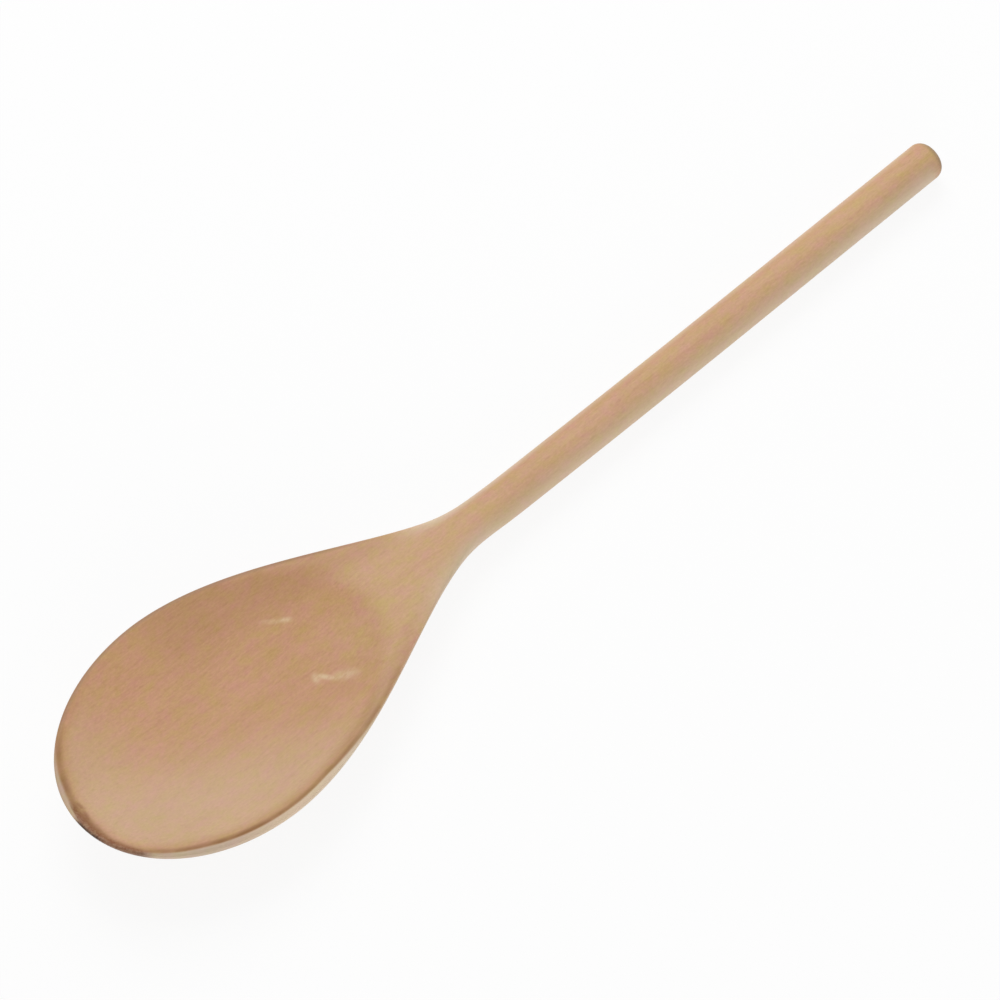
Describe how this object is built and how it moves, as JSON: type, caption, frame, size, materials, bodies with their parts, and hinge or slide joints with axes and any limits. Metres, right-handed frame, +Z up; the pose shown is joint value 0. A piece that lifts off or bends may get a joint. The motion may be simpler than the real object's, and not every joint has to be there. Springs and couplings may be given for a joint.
{
  "type": "wooden spoon",
  "caption": "Plain wooden cooking spoon with an egg-shaped bowl, a shallow hollow in its face and a round, slightly bent handle with a rounded end.",
  "frame": {"origin": "middle of the spoon's length and width, on the surface that it lies on, face up", "axes": "+X along the handle away from the bowl, +Y across the bowl, +Z up out of the hollow"},
  "size_m": [0.305, 0.0694, 0.0203],
  "materials": {
    "beech": "sanded and unfinished, with fine short grain flecks and a darkened lip round the bowl"
  },
  "bodies": {
    "root": {"spoon": "beech"}
  },
  "joints": []
}
